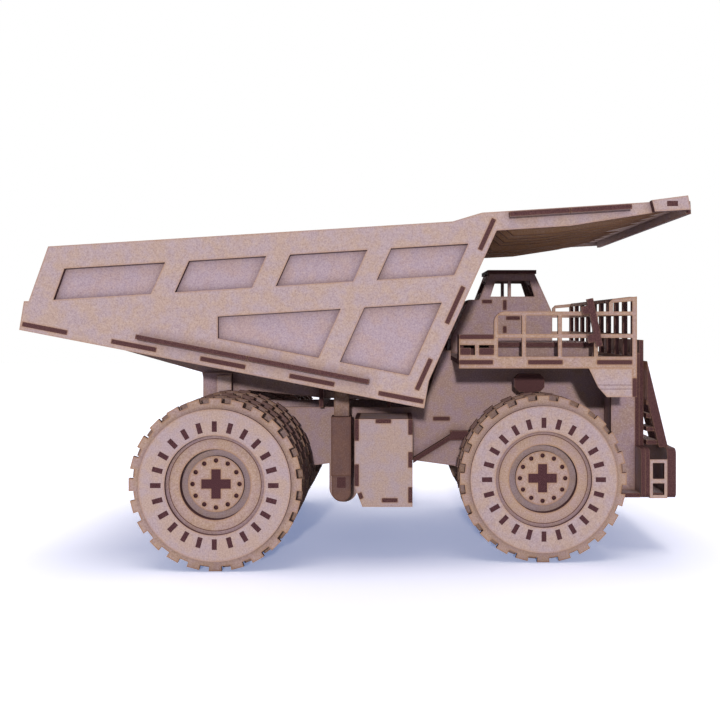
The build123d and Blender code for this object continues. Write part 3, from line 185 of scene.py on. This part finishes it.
def boardFace(tree, place, fibre, nearCut, look, paintedShade):
    # colour of the sheet's own faces
    here = {"Vector": place.outputs["Object"]}
    cloud = addNode(tree, "ShaderNodeTexNoise", mdf["cloud"], here)
    patch = addNode(tree, "ShaderNodeTexNoise", mdf["patch"], here)
    both = addNode(tree, "ShaderNodeMath", {"operation": "MULTIPLY_ADD", 1: mdf["patchShare"]},
                   {0: patch.outputs["Fac"], 2: cloud.outputs["Fac"]})
    blend = addNode(tree, "ShaderNodeMapRange", mdf["coolToWarm"], {"Value": both.outputs[0]})
    board = addNode(tree, "ShaderNodeMix",
                    {"data_type": "RGBA", 6: linear(look["cool"]), 7: linear(look["warm"])},
                    {0: blend.outputs["Result"]}).outputs[2]

    # smoke stain that the laser leaves on the face beside each cut, wider in some places
    swing = mdf["smokeUneven"]
    uneven = addNode(tree, "ShaderNodeMath", {"operation": "MULTIPLY_ADD", 1: swing, 2: -swing / 2},
                     {0: patch.outputs["Fac"]})
    reach = addNode(tree, "ShaderNodeMath", {"operation": "ADD"},
                    {0: nearCut.outputs["AO"], 1: uneven.outputs[0]})

    # painted shade that darkens the board in corners, where boards meet
    corner = addNode(tree, "ShaderNodeAmbientOcclusion",
                     {"samples": 8, "Distance": mdf["cornerShadeReach"]})

    layers = [
        (mdf["darkFibres"], fibre.outputs["Fac"], look["fleck"]),
        (rising(*mdf["lightFibres"], look["lightFibres"]), fibre.outputs["Fac"],
         mdf["lightFibre"]),
        (rising(*mdf["smoke"], look["stain"]), reach.outputs[0], look["smoke"]),
        (mdf["cornerShade"], corner.outputs["AO"], mdf["paintedShade"]),
    ]
    for strength, source, colour in layers:
        amount = addNode(tree, "ShaderNodeMapRange", strength, {"Value": source})
        board = addNode(tree, "ShaderNodeMix", {"data_type": "RGBA", 7: linear(colour)},
                        {0: amount.outputs["Result"], 6: board}).outputs[2]
    # painted shade on a tyre's boards behind its first ring
    if paintedShade:
        board = addNode(tree, "ShaderNodeMix", {"data_type": "RGBA", 7: linear(mdf["paintedShade"])},
                        {0: shadeBand(tree, place, paintedShade), 6: board}).outputs[2]
    return board


def scorchedEdge(tree, place, nearCut, look):
    # fine lines across the sheet, as the beam leaves them, and a paler rim at the sheet's faces
    lines = addNode(tree, "ShaderNodeTexNoise", mdf["scorchLines"],
                    {"Vector": place.outputs["Object"]})
    scorch = addNode(tree, "ShaderNodeValToRGB", links={"Fac": lines.outputs["Fac"]})
    stops = scorch.color_ramp.elements
    while len(stops) < len(look["edge"]):
        stops.new(0.5)
    for stop, position, colour in zip(stops, mdf["burntStops"], look["edge"]):
        stop.position = position
        stop.color = linear(colour)
    rim = addNode(tree, "ShaderNodeMapRange", rising(*mdf["rim"], look["rim"]),
                  {"Value": nearCut.outputs["AO"]})
    return addNode(tree, "ShaderNodeMix", {"data_type": "RGBA", 7: linear(mdf["edgeRim"])},
                   {0: rim.outputs["Result"], 6: scorch.outputs["Color"]}).outputs[2]


def laserCutMdf(name, plateAxes, tone, boxes, paintedShade):
    # plateAxes are the directions that the sheet's faces look in; everything else is a cut edge
    look = {**usualTone, **tones[tone]}
    material, tree = newMaterial(name)
    place = addNode(tree, "ShaderNodeTexCoord")
    fibre = addNode(tree, "ShaderNodeTexNoise", mdf["fibre"], {"Vector": place.outputs["Object"]})
    nearCut = addNode(tree, "ShaderNodeAmbientOcclusion",
                      {"samples": 10, "inside": True, "only_local": True,
                       "Distance": mdf["smokeReach"]})
    colour = scorchedEdge(tree, place, nearCut, look)
    if plateAxes:
        cut = cutEdges(tree, place, plateAxes)
        if boxes:
            cut = addNode(tree, "ShaderNodeMath", {"operation": "MAXIMUM"},
                          {0: cut, 1: burntBoxes(tree, place, boxes)}).outputs[0]
        board = boardFace(tree, place, fibre, nearCut, look, paintedShade)
        colour = addNode(tree, "ShaderNodeMix", {"data_type": "RGBA"},
                         {0: cut, 6: board, 7: colour}).outputs[2]
    bump = addNode(tree, "ShaderNodeBump", mdf["relief"], {"Height": fibre.outputs["Fac"]})
    surface = addNode(tree, "ShaderNodeBsdfPrincipled", mdf["surface"],
                      {"Base Color": colour, "Normal": bump.outputs["Normal"]})
    addNode(tree, "ShaderNodeOutputMaterial", links={"Surface": surface.outputs["BSDF"]})
    return material


materials = {}


def boardMaterial(axes, tone="plain", boxes=(), paintedShade=None):
    key = (tuple(axes), tone, tuple(boxes), paintedShade)
    if key not in materials:
        name = f"laserCutMdf{tone.capitalize()}{len(materials) + 1}"
        materials[key] = laserCutMdf(name, axes, tone, boxes, paintedShade)
    return materials[key]


def mainAxis(part):
    # direction that most of a plate's area looks in, found from its own triangles
    totals = {}
    for face in part.data.polygons:
        normal = face.normal
        largest = max(normal, key=abs)
        key = tuple(round(c, 2) for c in (normal * (1 if largest > 0 else -1)))
        totals[key] = totals.get(key, 0) + face.area
    return max(totals, key=totals.get)


# Wheels, named as their tyres. The outer face and the band of painted shade behind the first ring
# are distances from the truck's middle plane, in mm.
wheels = [
    {"name": "front_right", "outer": 102, "paintedShade": (67, 97)},
    {"name": "front_left", "outer": 102, "paintedShade": (67, 97)},
    {"name": "rear_right_outer", "outer": 125, "paintedShade": (90, 120)},
    {"name": "rear_left_outer", "outer": 125, "paintedShade": (90, 120)},
    {"name": "rear_right_inner", "outer": 80, "paintedShade": (45, 79)},
    {"name": "rear_left_inner", "outer": 80, "paintedShade": (45, 79)},
]
for wheel in wheels:
    wheel["tyre"] = "tyre_" + wheel["name"]
    wheel["body"] = wheel["name"].split("_")[0] + "_wheels"
    wheel["side"] = -1 if "right" in wheel["name"] else 1
    wheel["hasHub"] = "inner" not in wheel["name"]

# Boards that aren't plain, that look in more than one direction, or that show tab ends or burnt
# lines inside a face, as boxes in mm. The other boards are plain.
# The darker shade tones here are painted shade on boards that sit in shade.
boards = {
    "bed_side_frames": {"boxes": [(189.5, 196.3, 230.1, 233.4)]},
    "bed_side_skins": {"tone": "inner"},
    "bed_side_trim": {"axes": [(0.19, 0, 0.98), (-0.06, 0, 1)]},
    "bed_keel_beams": {"tone": "dullShade"},
    "bed_bearers": {"tone": "dullShade"},
    "canopy_ribs": {"tone": "warmTan"},
    "canopy_sheet": {"tone": "smoked"},
    "cab_leaning_frames": {"axes": [(0.91, 0, 0.41), (0.93, 0, -0.36)], "tone": "dullShade"},
    "cab_side_plates": {"tone": "dullShade"},
    "cab_end_plates": {"tone": "dullShade"},
    "chassis_side_plates": {"tone": "dullShade"},
    "chassis_cross_plates": {"tone": "dullShade"},
    "suspension_struts": {"axes": [alongTruck], "tone": "dullShade"},
    "mirror_posts": {"axes": [alongTruck]},
    "deck_side_rails": {"tone": "smoked"},
    "deck_front_rail": {"tone": "smoked"},
    "deck_hood": {"axes": [acrossTruck, upright], "tone": "dullShade", "boxes": [(86, 155, 142, 144.9)]},
    "drop_plates": {"boxes": [(146, 175, 117.65, 117.95), (146, 175, 115.05, 115.35)]},
    "housing_side_panels": {"tone": "dullShade"},
    "ladder_stringers": {"tone": "smoked"},
    "front_axle": {"axes": [alongTruck, upright], "tone": "charred"},
    "rear_axle": {"axes": [alongTruck, upright], "tone": "charred"},
    "front_wheel_discs": {"axes": [acrossTruck]},
    "rear_wheel_discs": {"axes": [acrossTruck]},
    "hoist_forks": {"tone": "umberShade"},
}
# the hoist's rods, sleeves and tubes take darker tones: painted shade, as they sit under the bed
for side in ("right", "left"):
    boards["hoist_rod_" + side] = {"tone": "umberShade"}
    boards["hoist_sleeve_" + side] = {"tone": "umberShade"}
    boards["hoist_tube_" + side] = {"axes": [acrossTruck], "tone": "brown",
                                    "boxes": [(-19, -13, 43.3, 50.7)]}
# each tyre takes painted shade behind its first ring
for wheel in wheels:
    boards[wheel["tyre"]] = {"axes": [acrossTruck], "tone": "smoked", "paintedShade": wheel["paintedShade"]}

for node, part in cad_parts.items():
    board = {"axes": [mainAxis(part)], **boards.get(node, {})}
    part.data.materials.clear()
    part.data.materials.append(boardMaterial(**board))
print("boards finished:", len(materials), "materials")


def deselect():
    if bpy.context.mode != "OBJECT":
        bpy.ops.object.mode_set(mode="OBJECT")
    bpy.ops.object.select_all(action="DESELECT")


def choose(piece):
    deselect()
    piece.select_set(True)
    bpy.context.view_layer.objects.active = piece


def rename(name):
    piece = bpy.context.object
    piece.name = name
    piece.data.name = name
    return piece


def addCylinder(name, sides, radius, length, middle=(0, 0, 0), turn=0):
    # lies along the Y axis, with its place in its mesh
    deselect()
    bpy.ops.mesh.primitive_cylinder_add(vertices=sides, radius=radius, depth=length,
                                        location=middle, rotation=(math.pi / 2, turn, 0))
    bpy.ops.object.transform_apply(location=True, rotation=True, scale=True)
    return rename(name)


def addBlock(name, middle, size):
    deselect()
    bpy.ops.mesh.primitive_cube_add(size=1, location=middle, scale=size)
    bpy.ops.object.transform_apply(location=True, rotation=True, scale=True)
    return rename(name)


def pickFaces(piece, wanted):
    # selects the faces that a test accepts, and leaves the piece in edit mode
    if bpy.context.mode != "OBJECT":
        bpy.ops.object.mode_set(mode="OBJECT")
    bpy.context.tool_settings.mesh_select_mode = (False, False, True)
    bpy.ops.object.mode_set(mode="EDIT")
    bpy.ops.mesh.select_all(action="DESELECT")
    bpy.ops.object.mode_set(mode="OBJECT")
    for face in piece.data.polygons:
        face.select = wanted(face)
    bpy.ops.object.mode_set(mode="EDIT")


def onSide(face):
    # a round side of a cylinder along Y; its other faces have four corners
    return abs(face.normal.y) > 0.5 and len(face.vertices) > 4


def raiseFaces(height):
    # the picked faces, up along their normals, or down if it is negative
    bpy.ops.mesh.extrude_region_shrink_fatten(TRANSFORM_OT_shrink_fatten={"value": height})


def repeatRound(count):
    # copies of the piece in edit mode, evenly round the Y axis
    bpy.ops.mesh.select_all(action="SELECT")
    bpy.ops.mesh.spin(steps=count - 1, dupli=True, angle=2 * math.pi * (1 - 1 / count),
                      center=(0, 0, 0), axis=(0, 1, 0))
    bpy.ops.object.mode_set(mode="OBJECT")


def cleanUp(piece):
    # merges what stands in one place and turns every face outwards
    choose(piece)
    bpy.ops.object.mode_set(mode="EDIT")
    bpy.ops.mesh.select_all(action="SELECT")
    bpy.ops.mesh.remove_doubles(threshold=0.01 * mm)
    bpy.ops.mesh.normals_make_consistent(inside=False)
    bpy.ops.object.mode_set(mode="OBJECT")


def placedCopy(source, name, matrix):
    # every copy has its own mesh, with its place in it
    copy = source.copy()
    copy.data = source.data.copy()
    copy.name = name
    copy.data.name = name
    bpy.context.scene.collection.objects.link(copy)
    copy.data.transform(matrix)
    return copy


def fit(piece, body, material):
    piece.data.materials.append(material)
    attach(piece, body)


def discard(*pieces):
    for piece in pieces:
        mesh = piece.data
        bpy.data.objects.remove(piece)
        bpy.data.meshes.remove(mesh)


def onWheel(wheel, depth):
    # to the wheel's axis, and depth in mm in from its outer face
    low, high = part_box(wheel["tyre"])
    y = wheel["side"] * (wheel["outer"] - depth) * mm
    return Matrix.Translation(((low[0] + high[0]) / 2, y, (low[2] + high[2]) / 2))


def facing(side):
    # shapes are made to look along +Y, out of the truck's left side
    return Matrix.Rotation(0 if side > 0 else math.pi, 4, "Z")


# Inner toothed rings of the tyres. A ring's depth is from the wheel's outer face to its own, and a
# phase of half a pitch sets its teeth between those of its neighbours. Depths are in mm.
tread = {
    "root": 52.0 * mm,
    "bore": 45.4 * mm,
    "tooth": 3.05 * mm,
    "toothHalf": math.radians(4.3),
    "pitch": math.radians(15),
    "sheet": 3.0 * mm,
    "halfSheet": 1.5,  # mm, as the depths
    "facesRound": 168,
    "rings": [{"depth": 13, "phase": 0.5}, {"depth": 23, "phase": 0.0}],
}


def treadRing(name, phase):
    # one toothed ring about the Y axis, its middle at the origin
    start = phase * tread["pitch"]
    ring = addCylinder(name, tread["facesRound"], tread["root"], tread["sheet"], turn=start)

    def onTooth(face):
        turn = math.atan2(face.center.z, face.center.x) - math.pi / 2 - start
        away = (turn + tread["pitch"] / 2) % tread["pitch"] - tread["pitch"] / 2
        return abs(face.normal.y) < 0.5 and abs(away) < tread["toothHalf"]

    pickFaces(ring, onTooth)
    raiseFaces(tread["tooth"])
    pickFaces(ring, onSide)
    bpy.ops.mesh.inset(thickness=tread["root"] - tread["bore"])
    bpy.ops.mesh.bridge_edge_loops()
    cleanUp(ring)
    return ring


# the inner rings take a darker tone: painted shade, as they sit behind the tyre's first ring
ringMaterial = boardMaterial([acrossTruck], "umberShade")
ringShapes = [treadRing(f"treadRing{i}", ring["phase"]) for i, ring in enumerate(tread["rings"])]
for wheel in wheels:
    for shape, ring in zip(ringShapes, tread["rings"]):
        place = onWheel(wheel, ring["depth"] + tread["halfSheet"])
        piece = placedCopy(shape, f"treadRing_{wheel['name']}_{ring['depth']}", place)
        fit(piece, wheel["body"], ringMaterial)
discard(*ringShapes)
print("tread rings cut")


# Ends of the tread's tabs, as they show in a tyre's two sidewalls
tabEnds = {
    "middle": 37.3 * mm,
    "length": 6.7 * mm,
    "width": 3.15 * mm,
    "depth": 1.0 * mm,
    "proud": 0.12 * mm,
    "bevel": 0.12 * mm,
    "bevelSteps": 2,
    "count": 24,
    "faces": [("outer", 0, 1), ("inner", 39, -1)],  # depth in mm, and whether it looks outwards
}


def tabRing(name):
    middle = (0, tabEnds["proud"] - tabEnds["depth"] / 2, tabEnds["middle"])
    ring = addBlock(name, middle, (tabEnds["width"], tabEnds["depth"], tabEnds["length"]))
    pickFaces(ring, lambda face: face.normal.y > 0.5)
    bpy.ops.mesh.bevel(offset=tabEnds["bevel"], segments=tabEnds["bevelSteps"], affect="EDGES")
    repeatRound(tabEnds["count"])
    return ring


tabShape = tabRing("tabEnds")
# burnt for tab ends and the engraved circle, and painted shade for the discs in the hub's bolt
# holes
burntAndShadeMaterial = boardMaterial((), "charred")
for wheel in wheels:
    for face, depth, outwards in tabEnds["faces"]:
        tabs = placedCopy(tabShape, f"tabEnds_{wheel['name']}_{face}",
                          onWheel(wheel, depth) @ facing(wheel["side"] * outwards))
        fit(tabs, wheel["body"], burntAndShadeMaterial)
discard(tabShape)
print("tab ends set in the sidewalls")


# Ring round the hub, with a circle engraved in it
rim = {
    "radius": 33.9 * mm,
    "bore": 22.5 * mm,
    "depth": 6.0 * mm,
    "face": 3,  # mm in from the wheel's outer face
    "lineOuter": 29.5 * mm,
    "lineInner": 29.15 * mm,
    "lineDepth": 0.3 * mm,
    "facesRound": 96,
}


def fromAxis(face):
    return math.hypot(face.center.x, face.center.z)


def onLine(face):
    # a flat face's centre stands a little inside its circle
    slack = 0.003
    low, high = rim["lineInner"] * (1 - slack), rim["lineOuter"] * (1 + slack)
    return face.center.y > -2 * rim["lineDepth"] and low < fromAxis(face) < high


def rimRing(name):
    # its face is at y = 0 and looks along +Y
    ring = addCylinder(name, rim["facesRound"], rim["radius"], rim["depth"],
                       (0, -rim["depth"] / 2, 0))
    pickFaces(ring, lambda face: face.normal.y > 0.5)
    bpy.ops.mesh.inset(thickness=rim["radius"] - rim["lineOuter"])
    bpy.ops.mesh.inset(thickness=rim["lineOuter"] - rim["lineInner"])
    bpy.ops.mesh.inset(thickness=rim["lineInner"] - rim["bore"])
    pickFaces(ring, lambda face: face.normal.y < -0.5)
    bpy.ops.mesh.inset(thickness=rim["radius"] - rim["bore"])
    pickFaces(ring, onSide)
    bpy.ops.mesh.bridge_edge_loops()
    pickFaces(ring, onLine)
    raiseFaces(-rim["lineDepth"])
    cleanUp(ring)
    return ring


# Hub plate with its bolt holes, the slot for the cross-shaped axle, and dark discs sunk in the
# holes as painted shade
hub = {
    "radius": 17.9 * mm,
    "sheet": 3.0 * mm,
    "face": 6,  # mm in from the wheel's outer face
    "facesRound": 72,
    "holeRadius": 1.45 * mm,
    "holeCircle": 15.0 * mm,
    "holes": 12,
    "holeFaces": 24,
    "crossSpan": 18.8 * mm,
    "crossArm": 6.0 * mm,
    "shadeDiscRadius": 1.42 * mm,
    "shadeDiscBevel": 0.5 * mm,
    "shadeDiscBevelSteps": 3,
    "shadeDiscSunk": 1.5 * mm,
    "shadeDiscFaces": 16,
}


def subtract(piece, cutter):
    choose(piece)
    cut = piece.modifiers.new("cut", "BOOLEAN")
    cut.operation = "DIFFERENCE"
    cut.solver = "EXACT"
    cut.object = cutter
    bpy.ops.object.modifier_apply(modifier=cut.name)
    discard(cutter)


def hubDisc(name):
    # its face is at y = 0 and looks along +Y
    middle = (0, -hub["sheet"] / 2, 0)
    disc = addCylinder(name, hub["facesRound"], hub["radius"], hub["sheet"], middle)
    drill = addCylinder("drill", hub["holeFaces"], hub["holeRadius"], 2 * hub["sheet"],
                        (hub["holeCircle"], -hub["sheet"] / 2, 0))
    bpy.ops.object.mode_set(mode="EDIT")
    repeatRound(hub["holes"])
    subtract(disc, drill)
    for wide, tall in ((hub["crossSpan"], hub["crossArm"]), (hub["crossArm"], hub["crossSpan"])):
        subtract(disc, addBlock("bar", middle, (wide, 2 * hub["sheet"], tall)))
    return disc


def holeShadeDiscs(name):
    # charred discs sunk in the bolt holes: painted shade that darkens the holes
    shadeDiscs = addCylinder(name, hub["shadeDiscFaces"], hub["shadeDiscRadius"], hub["sheet"] - hub["shadeDiscSunk"],
                       (hub["holeCircle"], -(hub["sheet"] + hub["shadeDiscSunk"]) / 2, 0))
    pickFaces(shadeDiscs, lambda face: face.normal.y > 0.5)
    bpy.ops.mesh.bevel(offset=hub["shadeDiscBevel"], segments=hub["shadeDiscBevelSteps"], affect="EDGES")
    repeatRound(hub["holes"])
    return shadeDiscs


rimShape = rimRing("rimShape")
hubShape = hubDisc("hubShape")
holeShadeShape = holeShadeDiscs("holeShadeShape")
rimMaterials = [boardMaterial([acrossTruck], "smoked"), boardMaterial([acrossTruck], "dullShade"),
                burntAndShadeMaterial]
for shape in (rimShape, hubShape):
    for material in rimMaterials:
        shape.data.materials.append(material)
# outside the engraved circle the ring is darker: painted shade beside the sidewall's edge
for face in rimShape.data.polygons:  # duller outside the engraved circle, burnt in it
    if face.normal.y > 0.5 and fromAxis(face) > rim["lineOuter"]:
        face.material_index = 1
    elif onLine(face):
        face.material_index = 2
for end in ("front", "rear"):
    parts = []
    for wheel in wheels:
        if wheel["hasHub"] and wheel["name"].startswith(end):
            rimPlace = onWheel(wheel, rim["face"]) @ facing(wheel["side"])
            hubPlace = onWheel(wheel, hub["face"]) @ facing(wheel["side"])
            parts.append(placedCopy(rimShape, "rim", rimPlace))
            parts.append(placedCopy(hubShape, "hub", hubPlace))
            # painted shade in the bolt holes
            shadeDiscs = placedCopy(holeShadeShape, f"holeShadeDiscs_{wheel['name']}", hubPlace)
            fit(shadeDiscs, wheel["body"], burntAndShadeMaterial)
    choose(parts[0])
    for part in parts:
        part.select_set(True)
    bpy.ops.object.join()
    rims = rename(f"rimsAndHubs_{end}")
    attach(rims, f"{end}_wheels")
    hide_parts(f"{end}_rims_and_hubs")
discard(rimShape, hubShape, holeShadeShape)
print("rims engraved and hubs drilled")


# Floor and sky
studio = {
    "floorSize": 6.0,
    "floor": "#ffffff",
    "floorBounce": "#bcbabc",
    "floorGlow": "#7180a6",
    "sky": {"Color": linear("#f2eff5"), "Strength": 0.25},
    "backdrop": {"Color": linear("#ffffff"), "Strength": 1.0},
}


def seenDirectly(tree):
    # 1 for the camera, and in the reflections and the clear parts that the camera sees
    ray = addNode(tree, "ShaderNodeLightPath")
    glossy = addNode(tree, "ShaderNodeMath", {"operation": "MAXIMUM"},
                     {0: ray.outputs["Is Camera Ray"], 1: ray.outputs["Is Glossy Ray"]})
    clear = addNode(tree, "ShaderNodeMath", {"operation": "MAXIMUM"},
                    {0: glossy.outputs[0], 1: ray.outputs["Is Transmission Ray"]})
    return clear.outputs[0]


def paleFloor():
    # white where it is seen, and greyer in the light that it throws back on the truck
    deselect()
    bpy.ops.mesh.primitive_plane_add(size=studio["floorSize"])
    floor = rename("floor")
    material, tree = newMaterial("paleFloor")
    seen = seenDirectly(tree)
    colour = addNode(tree, "ShaderNodeMix",
                     {"data_type": "RGBA", 6: linear(studio["floorBounce"]),
                      7: linear(studio["floor"])}, {0: seen})
    paint = addNode(tree, "ShaderNodeBsdfDiffuse", links={"Color": colour.outputs[2]})
    glow = addNode(tree, "ShaderNodeEmission", {"Color": linear(studio["floorGlow"])},
                   {"Strength": seen})
    both = addNode(tree, "ShaderNodeAddShader", links={0: paint.outputs[0], 1: glow.outputs[0]})
    addNode(tree, "ShaderNodeOutputMaterial", links={"Surface": both.outputs[0]})
    floor.data.materials.append(material)


def softSky():
    world = bpy.data.worlds.new("studio")
    bpy.context.scene.world = world
    world.use_nodes = True
    tree = world.node_tree
    tree.nodes.clear()
    sky = addNode(tree, "ShaderNodeBackground", studio["sky"])
    backdrop = addNode(tree, "ShaderNodeBackground", studio["backdrop"])
    mix = addNode(tree, "ShaderNodeMixShader",
                  links={0: seenDirectly(tree), 1: sky.outputs[0], 2: backdrop.outputs[0]})
    addNode(tree, "ShaderNodeOutputWorld", links={"Surface": mix.outputs[0]})


# Distant softboxes: height, turn and spread in degrees, the turn from straight behind the camera
lamps = [
    {"name": "frontLight", "height": 10.5, "turn": -2, "spread": 2.5, "power": 1.95,
     "tint": "#fff6f0"},
    {"name": "topLight", "height": 80, "turn": -20, "spread": 36, "power": 1.5, "tint": "#fff8f2"},
    {"name": "backLight", "height": 32, "turn": 180, "spread": 110, "power": 1.35,
     "tint": "#fff9f4"},
]


def softLamp(lamp):
    data = bpy.data.lights.new(lamp["name"], "SUN")
    data.angle = math.radians(lamp["spread"])
    data.energy = lamp["power"]
    data.color = linear(lamp["tint"])[:3]
    obj = bpy.data.objects.new(lamp["name"], data)
    bpy.context.scene.collection.objects.link(obj)
    obj.rotation_euler = (math.radians(90 - lamp["height"]), 0, math.radians(lamp["turn"]))


paleFloor()
softSky()
for lamp in lamps:
    softLamp(lamp)
print("floor and lights set")


camera = {
    "place": (0.0206, -0.7318, 0.1572),
    "lens": 48,
    "sensor": 36,
    "shift": (-0.0472, -0.05),
    "sight": (0.05, 20),
}


def eyeLevelCamera():
    data = bpy.data.cameras.new("camera")
    data.lens = camera["lens"]
    data.sensor_width = camera["sensor"]
    data.shift_x, data.shift_y = camera["shift"]
    data.clip_start, data.clip_end = camera["sight"]
    obj = bpy.data.objects.new("camera", data)
    bpy.context.scene.collection.objects.link(obj)
    obj.location = camera["place"]
    obj.rotation_euler = (math.pi / 2, 0, 0)
    bpy.context.scene.camera = obj


eyeLevelCamera()
bpy.context.scene.view_settings.view_transform = "Standard"

print("ready")
